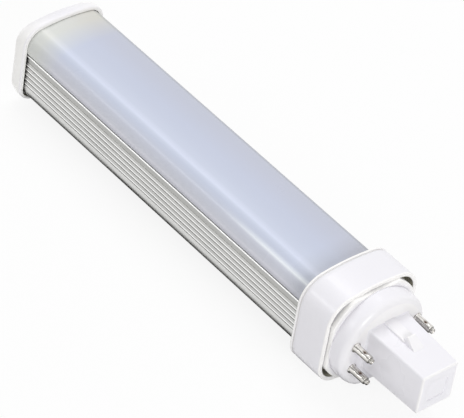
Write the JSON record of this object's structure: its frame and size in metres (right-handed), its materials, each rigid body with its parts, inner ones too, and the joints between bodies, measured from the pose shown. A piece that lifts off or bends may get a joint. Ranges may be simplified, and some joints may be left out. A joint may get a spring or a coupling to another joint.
{
  "type": "led plug-in tube lamp",
  "caption": "Plug-in LED tube lamp with a ribbed aluminium heat sink, a milky arched cover, a white end cap, and a white collar and base with a post and contact pins.",
  "frame": {"origin": "under the middle of the length, at the level of the collar's flat back", "axes": "+X along the lamp to the tip of the post, +Z the side that shines, +Y across the lamp"},
  "size_m": [0.1758, 0.0336, 0.0318],
  "materials": {
    "white_plastic": "satin moulded polycarbonate",
    "screw_steel": "zinc plated",
    "drawn_aluminium": "extruded, clear anodised",
    "milky_cover": "milky extruded polycarbonate",
    "board_white": "white solder mask on a metal core",
    "chip_phosphor": "yellow phosphor in a white frame",
    "tray_plastic": "plain insulating plastic",
    "board_brown": "bare laminate",
    "resistor_coat": "dipped coating",
    "package_black": "moulded epoxy",
    "choke_sleeve": "shrunk sleeve",
    "can_sleeve": "sleeved can",
    "ferrite": "sintered ferrite",
    "coil_tape": "taped winding",
    "lead_insulation": "soft insulation",
    "pin_nickel": "nickel plated, slightly yellow"
  },
  "bodies": {
    "root": {"end_cap": "white_plastic", "collar": "white_plastic", "base": "white_plastic", "end_cap_screws": "screw_steel", "collar_screws": "screw_steel", "heat_sink": "drawn_aluminium", "diffuser_cover": "milky_cover", "led_board": "board_white", "led_chips": "chip_phosphor", "driver_tray": "tray_plastic", "driver_board": "board_brown", "fuse_resistor": "resistor_coat", "bridge_rectifier": "package_black", "driver_chip": "package_black", "filter_choke": "choke_sleeve", "input_capacitor": "can_sleeve", "output_capacitor": "can_sleeve", "transformer_core": "ferrite", "transformer_coil": "coil_tape", "input_leads": "lead_insulation", "output_leads": "lead_insulation", "contact_pin_1": "pin_nickel", "contact_pin_2": "pin_nickel", "contact_pin_3": "pin_nickel", "contact_pin_4": "pin_nickel"}
  },
  "joints": []
}
